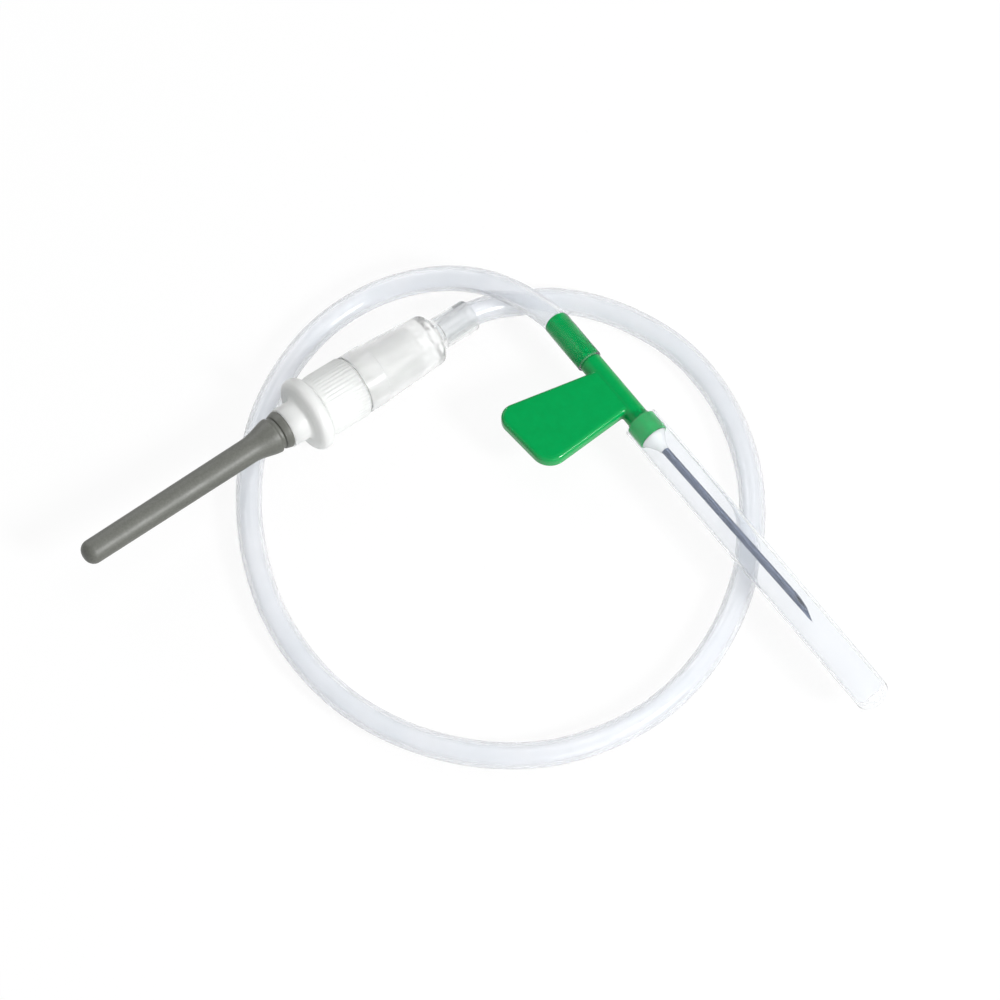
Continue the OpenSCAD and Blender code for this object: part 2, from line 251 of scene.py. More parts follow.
class NodeSheet:
    """A material's node tree, with its Principled shader ready.

    The spans are the noise values that colours and ranges run over, and the upward share of a face's
    normal over which its painted reflection turns from the slanted to the level strength.
    """

    RAMP_SPAN: Pair = (0.35, 0.65)
    NOISE_SPAN: Pair = (0.3, 0.7)
    PAINTED_FACING_SPAN: Pair = (0.85, 0.97)

    def __init__(self, name: str) -> None:
        """Makes an empty material of that name with a shader on its output."""
        self.material = bpy.data.materials.new(name)
        self.material.use_nodes = True
        self.tree = self.material.node_tree
        self.tree.nodes.clear()
        output = self.tree.nodes.new("ShaderNodeOutputMaterial")
        self.shader = self.tree.nodes.new("ShaderNodeBsdfPrincipled")
        self.link(self.shader.outputs[0], output.inputs["Surface"])

    def set(self, **values: float | Sequence[float]) -> None:
        """Sets the shader's own sockets; an underscore in a name stands for a space."""
        for key, value in values.items():
            self.shader.inputs[key.replace("_", " ")].default_value = value

    def link(self, source: Socket, target: Socket) -> None:
        """Joins two sockets."""
        self.tree.links.new(source, target)

    def feed(self, source: Socket, name: str) -> None:
        """Joins a value to the shader's socket of that name."""
        self.link(source, self.shader.inputs[name])

    def coordinates(self) -> Socket:
        """Returns the object coordinates, which are metres in the frame."""
        return self.tree.nodes.new("ShaderNodeTexCoord").outputs["Object"]

    def mapped(self, source: Socket, socket: str, values: Point) -> Socket:
        """Turns or stretches coordinates.

        Args:
            source: The coordinates.
            socket: Rotation or Scale.
            values: What that socket is set to.

        Returns:
            The new coordinates.
        """
        node = self.tree.nodes.new("ShaderNodeMapping")
        node.inputs[socket].default_value = values
        self.link(source, node.inputs["Vector"])
        return node.outputs["Vector"]

    def noise(
        self, size_mm: float, detail: float = 3.0, rough: float = 0.55, along: Socket | None = None
    ) -> Socket:
        """Adds a noise.

        Args:
            size_mm: Size of its spots in millimetres.
            detail: Number of finer layers.
            rough: How strong the finer layers are.
            along: The coordinates that it follows, if not the object's own.

        Returns:
            The noise value.
        """
        node = self.tree.nodes.new("ShaderNodeTexNoise")
        node.inputs["Scale"].default_value = 1 / (size_mm * MM)
        node.inputs["Detail"].default_value = detail
        node.inputs["Roughness"].default_value = rough
        self.link(self.coordinates() if along is None else along, node.inputs["Vector"])
        return node.outputs["Fac"]

    def ramp(self, value: Socket, low: Colour, high: Colour) -> Socket:
        """Turns a noise into a colour between two.

        Args:
            value: The noise value.
            low: Colour at the low end.
            high: Colour at the high end.

        Returns:
            The colour.
        """
        node = self.tree.nodes.new("ShaderNodeValToRGB")
        for stop, place, colour in zip(node.color_ramp.elements, self.RAMP_SPAN, (low, high)):
            stop.position = place
            stop.color = (*colour, 1)
        self.link(value, node.inputs["Fac"])
        return node.outputs["Color"]

    def rescaled(self, value: Socket, span: Pair, result: Pair, soft: bool = False) -> Socket:
        """Maps a value from one span onto another.

        Args:
            value: The value.
            span: Its two ends.
            result: What it is at those ends, and beyond them.
            soft: Whether it leaves and reaches them gently.

        Returns:
            The mapped value.
        """
        node = self.tree.nodes.new("ShaderNodeMapRange")
        if soft:
            node.interpolation_type = "SMOOTHSTEP"
        for socket, number in zip(("From Min", "From Max", "To Min", "To Max"), (*span, *result)):
            node.inputs[socket].default_value = number
        self.link(value, node.inputs["Value"])
        return node.outputs["Result"]

    def spread(self, value: Socket, result: Pair) -> Socket:
        """Maps a noise value onto a range."""
        return self.rescaled(value, self.NOISE_SPAN, result)

    def level(self, flat: float, slanted: float) -> Socket:
        """Gives one value where the surface faces straight up and another where it turns away.
        It is used to paint reflections: weak on faces that look up, strong on edges and sides that turn away.

        Args:
            flat: Value on level faces.
            slanted: Value on rounded edges and sides.

        Returns:
            The value.
        """
        parts = self.tree.nodes.new("ShaderNodeSeparateXYZ")
        self.link(self.tree.nodes.new("ShaderNodeNewGeometry").outputs["Normal"], parts.inputs[0])
        return self.rescaled(parts.outputs["Z"], self.PAINTED_FACING_SPAN, (slanted, flat))

    def near(self, centre: Vector, inner: float, outer: float) -> Socket:
        """Gives 1 near a point and 0 away from it.

        Args:
            centre: The point, in millimetres.
            inner: Distance up to which it is 1.
            outer: Distance from which it is 0.

        Returns:
            The value.
        """
        reach = self.tree.nodes.new("ShaderNodeVectorMath")
        reach.operation = "DISTANCE"
        reach.inputs[1].default_value = centre * MM
        self.link(self.coordinates(), reach.inputs[0])
        return self.rescaled(reach.outputs["Value"], (inner * MM, outer * MM), (1.0, 0.0), soft=True)

    def blend(self, share: Socket, base: Socket | float, other: float) -> Socket:
        """Mixes a value with a number.

        Args:
            share: How much of the number there is.
            base: The value, or a number, where there is none.
            other: The number.

        Returns:
            The mixed value.
        """
        node = self.tree.nodes.new("ShaderNodeMix")
        self.link(share, node.inputs[0])
        if isinstance(base, float):
            node.inputs[2].default_value = base
        else:
            self.link(base, node.inputs[2])
        node.inputs[3].default_value = other
        return node.outputs[0]

    def bump(self, height: Socket, depth_mm: float, strength: float) -> None:
        """Roughens the shader's surface.

        Args:
            height: The height value.
            depth_mm: Depth of the relief in millimetres.
            strength: How strongly it shows.
        """
        node = self.tree.nodes.new("ShaderNodeBump")
        node.inputs["Distance"].default_value = depth_mm * MM
        node.inputs["Strength"].default_value = strength
        self.link(height, node.inputs["Height"])
        self.feed(node.outputs["Normal"], "Normal")


class Finish(ABC):
    """A finish of one or more pieces."""

    @abstractmethod
    def material(self) -> Material:
        """Returns the finish's material."""


@dataclass(frozen=True)
class Clearing:
    """A place where milky plastic is clear.

    Args:
        centre: Middle of the place, in millimetres.
        inner: Distance up to which it is clear.
        outer: Distance from which it is milky.
        clarity: Share of the light that passes through there.
        frost: Roughness there.
        glint: Strength of its reflections there; low where the plastic grips another one.
    """

    centre: Vector
    inner: float
    outer: float
    clarity: float
    frost: float
    glint: float = 1.0


@dataclass(frozen=True)
class ClearPlastic(Finish):
    """Translucent plastic, frosted inside and glossy outside, with a faint flow and grain.

    Args:
        name: Name of the material.
        tint: Colour where it flowed thick.
        thin_tint: Colour where it flowed thin.
        clarity: Share of the light that passes through.
        frost: How much it blurs what is behind it, low and high.
        gloss: Weight and roughness of its polished skin.
        ior: Refractive index.
        grain_mm: Size of the surface's grain.
        grain_depth_mm: Depth of the grain.
        milk: Share of the other light that scatters inside.
        milk_mm: How far that light spreads.
        flow_mm: Size of the spots that its colour flows in.
        relief: How strongly the grain shows.
        clearing: Where it is clear, if anywhere.
    """

    name: str
    tint: Colour
    thin_tint: Colour
    clarity: float
    frost: Pair
    gloss: Pair = (0.6, 0.12)
    ior: float = 1.46
    grain_mm: float = 1.2
    grain_depth_mm: float = 0.003
    milk: float = 0.8
    milk_mm: float = 1.5
    flow_mm: float = 5.0
    relief: float = 0.15
    clearing: Clearing | None = None

    def material(self) -> Material:
        """Returns the plastic's material."""
        sheet = NodeSheet(self.name)
        shine, blur = self.gloss
        sheet.set(Transmission_Weight=self.clarity, IOR=self.ior)
        sheet.set(Coat_Weight=shine, Coat_Roughness=blur, Coat_IOR=self.ior)
        sheet.set(Subsurface_Weight=self.milk, Subsurface_Radius=(1.0, 1.0, 1.0))
        sheet.set(Subsurface_Scale=self.milk_mm * MM)
        flow = sheet.noise(self.flow_mm, detail=2.0)
        sheet.feed(sheet.ramp(flow, self.tint, self.thin_tint), "Base Color")
        grain = sheet.noise(self.grain_mm)
        frost = sheet.spread(grain, self.frost)
        if self.clearing:
            spot = self.clearing
            near = sheet.near(spot.centre, spot.inner, spot.outer)
            sheet.feed(sheet.blend(near, self.clarity, spot.clarity), "Transmission Weight")
            frost = sheet.blend(near, frost, spot.frost)
            if spot.glint < 1:
                sheet.feed(sheet.blend(near, 1.0, spot.glint), "Specular Tint")
            if spot.glint < 1 and shine:
                sheet.feed(sheet.blend(near, shine, shine * spot.glint), "Coat Weight")
        sheet.feed(frost, "Roughness")
        sheet.bump(grain, self.grain_depth_mm, self.relief)
        return sheet.material


@dataclass(frozen=True)
class DyedMoulding(Finish):
    """Opaque dyed plastic from a polished mould, with painted reflections: weak on level faces, strong on
    edges.

    Args:
        name: Name of the material.
        dark: Deeper shade of the dye.
        light: Lighter shade of the dye.
        gloss: Roughness, low and high.
        painted_level_reflection: Strength of its reflections on level faces, painted weak.
        painted_edge_highlight: Their strength on rounded edges and sides, painted strong as a highlight.
        depth_mm: How far light spreads inside.
        mottle_mm: Size of the spots in its dye.
        grain_mm: Size of the surface's grain.
        grain_depth_mm: Depth of the grain.
        relief: How strongly the grain shows.
    """

    name: str
    dark: Colour
    light: Colour
    gloss: Pair = (0.1, 0.16)
    painted_level_reflection: float = 0.05
    painted_edge_highlight: float = 0.27
    depth_mm: float = 0.4
    mottle_mm: float = 1.2
    grain_mm: float = 0.14
    grain_depth_mm: float = 0.012
    relief: float = 0.25

    def material(self) -> Material:
        """Returns the moulding's material."""
        sheet = NodeSheet(self.name)
        # Painted reflection: level faces reflect weakly and edges and sides strongly, set by which way each
        # face points.
        sheet.feed(sheet.level(self.painted_level_reflection, self.painted_edge_highlight), "Specular IOR Level")
        sheet.set(Subsurface_Weight=0.1, Subsurface_Radius=(0.1, 1.0, 0.4))
        sheet.set(Subsurface_Scale=self.depth_mm * MM)
        mottle = sheet.noise(self.mottle_mm, detail=6.0, rough=0.75)
        sheet.feed(sheet.ramp(mottle, self.dark, self.light), "Base Color")
        grain = sheet.noise(self.grain_mm, detail=4.0)
        sheet.feed(sheet.spread(grain, self.gloss), "Roughness")
        sheet.bump(grain, self.grain_depth_mm, self.relief)
        return sheet.material


@dataclass(frozen=True)
class Elastomer(Finish):
    """Dark, slightly dusty rubber.

    Args:
        name: Name of the material.
        dark: Colour in its pits.
        light: Colour where it is dusted.
        matt: Roughness, low and high.
        dust_mm: Size of the dust's spots.
        wear_mm: Size of its duller and smoother places.
        grain_mm: Size of the surface's grain.
        grain_depth_mm: Depth of the grain.
        relief: How strongly the grain shows.
    """

    name: str
    dark: Colour
    light: Colour
    matt: Pair = (0.44, 0.52)
    dust_mm: float = 0.25
    wear_mm: float = 1.5
    grain_mm: float = 0.12
    grain_depth_mm: float = 0.012
    relief: float = 0.25

    def material(self) -> Material:
        """Returns the rubber's material."""
        sheet = NodeSheet(self.name)
        sheet.set(IOR=1.5, Specular_IOR_Level=0.6)
        dust = sheet.noise(self.dust_mm, detail=5.0, rough=0.7)
        sheet.feed(sheet.ramp(dust, self.dark, self.light), "Base Color")
        sheet.feed(sheet.spread(sheet.noise(self.wear_mm), self.matt), "Roughness")
        sheet.bump(sheet.noise(self.grain_mm, detail=4.0), self.grain_depth_mm, self.relief)
        return sheet.material


@dataclass(frozen=True)
class DrawnSteel(Finish):
    """Drawn stainless needle tube, with fine marks along the draw.

    Args:
        name: Name of the material.
        dark: Colour in the marks.
        light: Colour of the bright metal.
        yaw: Heading of the draw, in degrees.
        mark_mm: Width of the marks.
        stretch: Their width as a share of their length.
        polish: Roughness, low and high.
        mark_depth_mm: Depth of the marks.
        relief: How strongly the marks show.
    """

    name: str
    dark: Colour
    light: Colour
    yaw: float
    mark_mm: float = 0.09
    stretch: float = 0.04
    polish: Pair = (0.22, 0.38)
    mark_depth_mm: float = 0.004
    relief: float = 0.3

    def material(self) -> Material:
        """Returns the steel's material."""
        sheet = NodeSheet(self.name)
        sheet.set(Metallic=1.0, IOR=2.5)
        drawn = sheet.mapped(sheet.coordinates(), "Rotation", (0, 0, math.radians(-self.yaw)))
        marks = sheet.noise(self.mark_mm, rough=0.5, along=sheet.mapped(drawn, "Scale", (self.stretch, 1, 1)))
        sheet.feed(sheet.ramp(marks, self.dark, self.light), "Base Color")
        sheet.feed(sheet.spread(marks, self.polish), "Roughness")
        sheet.bump(marks, self.mark_depth_mm, self.relief)
        return sheet.material


class FinishRack:
    """All finishes of the set, made once each."""

    def __init__(self) -> None:
        """Makes the materials."""
        self.tube = ClearPlastic(
            "tubing", (0.91, 0.93, 0.958), (0.94, 0.952, 0.975), clarity=0.84, frost=(0.16, 0.22),
            gloss=(0.3, 0.3), ior=1.4, milk=0.0,
            clearing=Clearing(HUB.at(3.2), inner=3.3, outer=3.65, clarity=1.0, frost=0.03, glint=0.1),
        ).material()
        self.clear = ClearPlastic(
            "clear_moulding", (0.965, 0.975, 0.97), (0.98, 0.985, 0.982), clarity=0.7, frost=(0.16, 0.22),
            gloss=(0.4, 0.3), ior=1.4,
            clearing=Clearing(ADAPTER.at(0.6), inner=4.6, outer=6.2, clarity=0.93, frost=0.08),
        ).material()
        self.ivory = ClearPlastic(
            "ivory_moulding", (0.86, 0.873, 0.86), (0.885, 0.897, 0.885), clarity=0.3, frost=(0.42, 0.5),
            gloss=(0.3, 0.24), ior=1.42, milk_mm=2.5,
        ).material()
        self.guard = ClearPlastic(
            "clear_guard", (0.955, 0.967, 0.985), (0.965, 0.977, 0.99), clarity=0.95, frost=(0.08, 0.11),
            gloss=(0.0, 0.1), ior=1.15, grain_mm=3.0, grain_depth_mm=0.001, milk=0.0,
            clearing=Clearing(HUB.at(16.4), inner=2.2, outer=2.9, clarity=0.98, frost=0.04, glint=0.5),
        ).material()
        self.bond = ClearPlastic(
            "cured_bond", (0.735, 0.755, 0.755), (0.78, 0.795, 0.795), clarity=0.0, frost=(0.15, 0.25),
            milk_mm=0.3,
        ).material()
        self.green = DyedMoulding("green_moulding", (0.0, 0.298, 0.067), (0.0, 0.326, 0.075)).material()
        self.rubber = Elastomer("sleeve_elastomer", (0.078, 0.081, 0.069), (0.108, 0.112, 0.097)).material()
        # The front needle's steel colours are painted dark and blue, a painted stand-in for the dim
        # reflections it shows; the rear needle keeps plain steel colours.
        self.shaded_front_steel = DrawnSteel(
            "front_needle_steel_painted_dark", (0.065, 0.085, 0.135), (0.14, 0.17, 0.245), HUB.yaw
        ).material()
        self.rear_steel = DrawnSteel(
            "rear_needle_steel", (0.40, 0.42, 0.45), (0.58, 0.60, 0.63), ADAPTER.yaw
        ).material()


# ---------------------------------------------------------------- sub-assemblies


@dataclass
class Assembly(ABC):
    """One sub-assembly of the set: it makes its pieces and dresses them."""

    rack: FinishRack

    @abstractmethod
    def build(self) -> list[Piece]:
        """Makes the pieces and returns them."""

    def dress(self, piece: Piece, material: Material, body: Body, slot: Slot, *nodes: str) -> None:
        """Gives a piece its finish, its body and the CAD nodes that it stands for.

        Args:
            piece: The piece.
            material: Its material.
            body: The body that it rides on.
            slot: The record's slot that the finish comes from; not used.
            nodes: CAD nodes that it replaces.
        """
        piece.data.materials.clear()
        piece.data.materials.append(material)
        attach(piece, body.value)
        if nodes:
            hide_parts(*nodes)

    def redress(self, node: str, material: Material) -> Piece:
        """Gives a CAD node that stays a better material.

        Args:
            node: Name of the node.
            material: Its new material.

        Returns:
            The node's object.
        """
        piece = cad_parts[node]
        for holder in piece.material_slots:
            holder.material = material
        return piece


@dataclass
class AdapterSizes:
    """Sizes of the clear connector and the holder adapter, along their common line."""

    tube_r: float = 1.385
    socket_r: float = 1.805
    socket_len: float = 5.0
    socket_depth: float = 4.2
    rim_r: float = 0.3
    channel_r: float = 0.85
    barrel_r: float = 2.9
    barrel_mouth_r: float = 3.375
    barrel_len: float = 10.5
    shoulder_r: float = 0.8
    band_len: float = 2.5
    band_h: float = 0.06
    luer_r: float = 2.135
    luer_len: float = 7.5
    luer_slope: float = 0.06
    luer_fit: float = 0.03
    luer_end_gap: float = 0.6
    seam_gap: float = 0.14
    collar_r: float = 3.4
    collar_len: float = 5.1
    ribs: int = 48
    rib_h: float = 0.1
    plain_len: float = 0.7
    flange_r: float = 4.15
    flange_t: float = 1.7
    flange_edge: float = 0.7
    nose_r: float = 2.25
    nose_len: float = 2.3
    nose_fillet: float = 0.5
    nipple_r: float = 1.2
    nipple_len: float = 3.2
    needle_r: float = 0.415
    needle_held: float = 6.0

    @property
    def seam(self) -> float:
        """Place of the barrel's open end."""
        return self.socket_len + self.barrel_len

    @property
    def collar(self) -> float:
        """Place where the collar starts."""
        return self.seam + self.seam_gap

    @property
    def flange(self) -> float:
        """Place of the flange's face on the collar's side."""
        return self.collar + self.collar_len

    @property
    def nose(self) -> float:
        """Place of the flange's face on the nose's side."""
        return self.flange + self.flange_t

    @property
    def mouth(self) -> float:
        """Place of the sleeve's mouth."""
        return self.nose + self.nose_len

    @property
    def pitch(self) -> float:
        """Rise of the line, which rests on the barrel's shoulder and the flange's rim."""
        rise_r = (self.flange_r - self.flange_edge) - (self.barrel_r - self.shoulder_r)
        rise_s = (self.flange + self.flange_edge) - (self.socket_len + self.shoulder_r)
        lift = math.acos((self.shoulder_r - self.flange_edge) / math.hypot(rise_r, rise_s))
        return math.degrees(lift - math.atan(rise_s / rise_r))

    @property
    def height(self) -> float:
        """Height of the line's start."""
        tilt = math.radians(self.pitch)
        round_r, round_s = self.barrel_r - self.shoulder_r, self.socket_len + self.shoulder_r
        return round_r * math.cos(tilt) + self.shoulder_r - round_s * math.sin(tilt)

    def cone(self, place: float) -> float:
        """Returns the male cone's radius at a place."""
        return self.luer_r - (self.collar - place) * self.luer_slope / 2


ADAPTER_SIZES = AdapterSizes()
ADAPTER = Line((-1.3, 22.8, ADAPTER_SIZES.height), 217.7, ADAPTER_SIZES.pitch)
HUB = Line((7.7, 20.7, 4.9), -54.2)


@dataclass
class TubeLoop(Assembly):
    """The soft clear tube, one loop from the connector's socket to the hub's spigot."""

    radius: float = 1.375
    bore_r: float = 0.95
    spigot_bore_r: float = 0.915
    spigot_len: float = 6.4
    stretched_r: float = 1.44
    end_round: float = 0.14
    end_shares: tuple[float, ...] = (0.6, 0.3, 0.1, 0.0)
    grip_lead: float = 1.2
    grip_len: float = 1.6
    sides: int = 56
    steps: int = 10
    mouth: Point = (-1.3, 22.8, 2.45)
    route: list[Point] = field(default_factory=lambda: [
        (-4.6, 20.25, 2.75), (-2.9, 21.55, 2.6), (-1.3, 22.8, 2.45), (1.0, 23.95, 2.1),
        (3.6, 24.65, 1.7), (7.5, 25.2, 1.4), (12.0, 24.4, 1.4), (16.7, 22.3, 1.4), (21.0, 19.1, 1.4),
        (24.6, 14.4, 1.4), (27.0, 9.0, 1.4), (28.2, 3.2, 1.4), (28.2, -2.7, 1.4), (27.2, -8.4, 1.4),
        (25.1, -14.0, 1.4), (22.0, -19.0, 1.4), (17.8, -23.3, 1.4), (12.8, -26.3, 1.4),
        (7.2, -28.1, 1.4), (1.5, -28.4, 1.4), (-4.2, -27.4, 1.4), (-9.6, -25.2, 1.4),
        (-14.4, -21.9, 1.4), (-18.4, -17.5, 1.4), (-21.5, -12.2, 1.4), (-23.4, -6.5, 1.4),
        (-24.3, -0.8, 1.4), (-24.3, 5.0, 1.4), (-23.2, 11.0, 1.4), (-20.8, 16.7, 1.4),
        (-17.3, 21.6, 1.4), (-12.8, 25.2, 1.5), (-8.0, 26.8, 2.3), (-3.3, 26.6, 3.7),
        (0.6, 25.4, 4.7), (3.6, 23.9, 4.9), (5.8, 22.4, 4.9), (7.7, 20.7, 4.9), (11.444, 15.509, 4.9),
    ])

    def smooth_route(self) -> list[Vector]:
        """Returns the centre line as a smooth curve through the route's points."""
        knots = [Vector(p) for p in self.route]
        held = [knots[-2].lerp(knots[-1], share) for share in (0.1, 0.4, 0.7)]
        knots = [*knots[:-1], *held, knots[-1]]
        knots = [2 * knots[0] - knots[1], *knots, 2 * knots[-1] - knots[-2]]
        line: list[Vector] = []
        for i in range(1, len(knots) - 2):
            line += [self._between(knots[i - 1: i + 3], k / self.steps) for k in range(self.steps)]
        return [*line, knots[-2]]

    @staticmethod
    def _between(knots: Sequence[Vector], t: float) -> Vector:
        """Returns a point of the centripetal curve between the middle two of four knots."""
        times = [0.0]
        for a, b in zip(knots, knots[1:]):
            times.append(times[-1] + math.sqrt((b - a).length))
        at = times[1] + (times[2] - times[1]) * t

        def mix(a: Vector, b: Vector, ta: float, tb: float) -> Vector:
            """Returns the point between a and b for the time."""
            return a * ((tb - at) / (tb - ta)) + b * ((at - ta) / (tb - ta))

        a1 = mix(knots[0], knots[1], times[0], times[1])
        a2 = mix(knots[1], knots[2], times[1], times[2])
        a3 = mix(knots[2], knots[3], times[2], times[3])
        b1 = mix(a1, a2, times[0], times[2])
        b2 = mix(a2, a3, times[1], times[3])
        return mix(b1, b2, times[1], times[2])

    def radii(self, left: float) -> Pair:
        """Gives the tube's radii at a place.

        Args:
            left: Length from there to the tube's end on the spigot.

        Returns:
            The outer and the inner radius.
        """
        grip = min(1.0, max(0.0, (self.spigot_len + self.grip_lead - left) / self.grip_len))
        grip = grip * grip * (3 - 2 * grip)
        drop = max(0.0, self.end_round - left)
        rounded = self.end_round - math.sqrt(self.end_round ** 2 - drop ** 2)
        outer = self.radius + (self.stretched_r - self.radius) * grip - rounded
        return outer, self.bore_r + (self.spigot_bore_r - self.bore_r) * grip

    def build(self) -> list[Piece]:
        path = self.smooth_route()
        line = [*path[:-1], *(path[-1].lerp(path[-2], share) for share in self.end_shares)]
        places = [0.0]
        for a, b in zip(line, line[1:]):
            places.append(places[-1] + (b - a).length)
        length = places[-1]
        turns = [2 * math.pi * k / self.sides for k in range(self.sides)]
        mesh = bmesh.new()
        outer, inner = [], []
        for i, point in enumerate(line):
            way = (line[min(i + 1, len(line) - 1)] - line[max(i - 1, 0)]).normalized()
            side = Vector((0, 0, 1)).cross(way).normalized()
            up = way.cross(side)
            for ring, radius in zip((outer, inner), self.radii(length - places[i])):
                spokes = [radius * (math.cos(a) * side + math.sin(a) * up) for a in turns]
                ring.append([mesh.verts.new(point + spoke) for spoke in spokes])
        MeshBench.skin(mesh, outer + inner[::-1])
        tube = MeshBench.place(mesh, "soft_tube", Matrix.Identity(4), crease=50.0)
        self.dress(tube, self.rack.tube, Body.SET, Slot.TUBE, "tube")
        log.info("soft_tube: %.1f mm of tube, %d faces", length, len(tube.data.polygons))
        return [tube]


@dataclass
class ClearConnector(Assembly):
    """The clear female connector: tube socket, rounded shoulder and tapered barrel with a low band."""

    sizes: AdapterSizes = field(default_factory=AdapterSizes)
    fillet: float = 0.15

    def build(self) -> list[Piece]:
        """Makes the connector."""
        z = self.sizes
        bottom = z.collar - z.luer_len - z.luer_end_gap
        band = z.seam - z.band_len
        profile = [(z.tube_r, 0.0)]
        profile += arc((z.socket_r - z.rim_r, z.rim_r), z.rim_r, -90, 0)
        profile += arc((z.socket_r + self.fillet, z.socket_len - self.fillet), self.fillet, 180, 90, 4)
        profile += arc((z.barrel_r - z.shoulder_r, z.socket_len + z.shoulder_r), z.shoulder_r, -90, 0, 12)
        mouth = z.barrel_mouth_r
        profile += [(mouth - z.band_h, band), (mouth, band + z.band_h), (mouth, z.seam - z.band_h)]
        profile += [(mouth - z.band_h, z.seam), (z.cone(z.seam) + z.luer_fit, z.seam)]
        profile += [(z.cone(bottom) + z.luer_fit, bottom), (z.channel_r, bottom)]
        profile += [(z.channel_r, z.socket_depth), (z.tube_r, z.socket_depth)]
        piece = MeshBench.place(MeshBench.lathe(profile, segments=128), "clear_connector", ADAPTER.matrix())
        self.dress(piece, self.rack.clear, Body.SET, Slot.CLEAR, "luer_connector")
        log.info("clear_connector: %d faces", len(piece.data.polygons))
        return [piece]


@dataclass
class HolderAdapter(Assembly):
    """The translucent adapter: male cone, ribbed collar, rounded flange, smooth nose and nipple."""

    sizes: AdapterSizes = field(default_factory=AdapterSizes)
    soft: float = 0.3
    chamfer: float = 0.1
    seam_floor: float = 0.02
    seam_depth: float = 0.2
    lip: float = 0.08
    ribs_in: float = 0.22
    ribs_out: float = 0.25
    wave_middle: float = 0.75
    steps_per_rib: int = 8

    def wave(self, angle: float) -> float:
        """Returns the height, from 0 to 1, of the collar's soft ribs at an angle."""
        return min(1.0, self.wave_middle * (1 + math.cos(angle * self.sizes.ribs)))

    def build(self) -> list[Piece]:
        """Makes the adapter with its ribbed collar."""
        z, soft, chamfer = self.sizes, self.soft, self.chamfer
        tip = z.collar - z.luer_len
        nipple_end = z.mouth + z.nipple_len
        held_end = nipple_end - z.needle_held
        seat = z.seam + self.seam_floor
        core = z.collar_r - self.seam_floor
        groove = core - self.seam_depth
        ribs_end = z.flange - z.plain_len
        flange_in = z.flange_r - z.flange_edge
        profile: list[tuple[float, ...]] = [(z.channel_r, tip), (z.cone(tip) - chamfer, tip)]
        profile += [(z.cone(tip), tip + chamfer), (z.cone(seat), seat), (groove, seat), (groove, z.collar)]
        profile += [(core - self.lip, z.collar), (core, z.collar + chamfer, 0.0)]
        profile += [(core, z.collar + self.ribs_in, z.rib_h), (core, ribs_end - self.ribs_out, z.rib_h)]
        profile += [(core, ribs_end, 0.0), *arc((core + soft, z.flange - soft), soft, 180, 90)]
        profile += arc((flange_in, z.flange + z.flange_edge), z.flange_edge, -90, 0, 12)
        profile += arc((flange_in, z.nose - z.flange_edge), z.flange_edge, 0, 90, 12)
        profile += arc((z.nose_r + z.nose_fillet, z.nose + z.nose_fillet), z.nose_fillet, 270, 180)
        profile += [(z.nose_r, z.mouth - chamfer), (z.nose_r - chamfer, z.mouth), (z.nipple_r, z.mouth)]
        profile += [(z.nipple_r, nipple_end - soft), (z.nipple_r - soft, nipple_end)]
        profile += [(z.needle_r, nipple_end), (z.needle_r, held_end), (z.channel_r, held_end)]
        mesh = MeshBench.lathe(profile, z.ribs * self.steps_per_rib, self.wave)
        body = MeshBench.place(mesh, "holder_adapter", ADAPTER.matrix(), crease=45.0)
        self.dress(body, self.rack.ivory, Body.SET, Slot.IVORY, "adapter_body")
        log.info("holder_adapter: %d faces, %d ribs", len(body.data.polygons), z.ribs)
        return [body]


@dataclass
class RearNeedle(Assembly):
    """The rear needle and the rubber sleeve that closes over it."""

    sizes: AdapterSizes = field(default_factory=AdapterSizes)
    length: float = 25.7
    shaft_r: float = 1.4
    tip_r: float = 1.325
    tip_round: float = 1.1
    bell_r: float = 2.0
    bell_len: float = 3.4
    ring_r: float = 2.125
    ring_waist: float = 1.98
    ring_len: float = 0.9
    groove_r: float = 1.75
    groove_len: float = 0.45
    wall: float = 0.5
    lean: float = 1.5
    fit: float = 0.02
    soft: float = 0.2
    fillet: float = 0.1
    bell_edge: float = 0.12
    bell_curve: float = 0.85
    bell_steps: int = 24

    def bell(self, t: float) -> float:
        """Returns the bell's radius from its edge at 0 to the shaft at 1."""
        share = (1 + math.cos(math.pi * t ** self.bell_curve)) / 2
        return self.shaft_r + (self.bell_r - self.shaft_r) * share

    def build(self) -> list[Piece]:
        """Makes the sleeve and dresses the needle inside it."""
        soft, fillet, lip, steps = self.soft, self.fillet, self.bell_edge, self.bell_steps
        held = self.sizes.nipple_r + self.fit
        bell_at = self.ring_len + self.groove_len
        neck = self.sizes.nipple_len + soft
        hollow, hollow_end = self.tip_r - self.wall, self.length - 2 * self.wall
        profile = [(held, 0.0)]
        profile += arc((self.ring_r - soft, soft), soft, -90, 20, 6)
        profile += arc((self.ring_waist - soft, self.ring_len - soft), soft, 20, 90, 6)
        profile += arc((self.groove_r + fillet, self.ring_len + fillet), fillet, 270, 180, 3)
        profile += arc((self.groove_r + fillet, bell_at - fillet), fillet, 180, 90, 3)
        profile += arc((self.bell_r - lip, bell_at + lip), lip, -90, -10, 4)
        profile += [(self.bell(t / steps), bell_at + self.bell_len * t / steps) for t in range(2, steps + 1)]
        profile += arc((self.tip_r - self.tip_round, self.length - self.tip_round), self.tip_round, 0, 90, 16)
        profile += [(0.0, self.length), (0.0, hollow_end), (hollow, hollow_end - soft)]
        profile += [(hollow, neck + 2 * soft), (held, neck)]
        place = ADAPTER.leaning(self.sizes.mouth, self.lean)
        sleeve = MeshBench.place(MeshBench.lathe(profile), "rear_sleeve", place, crease=50.0)
        self.dress(sleeve, self.rack.rubber, Body.SET, Slot.RUBBER, "rubber_sleeve")
        needle = self.redress("back_needle", self.rack.rear_steel)
        log.info("rear_sleeve: %d faces, over the rear needle", len(sleeve.data.polygons))
        return [sleeve, needle]


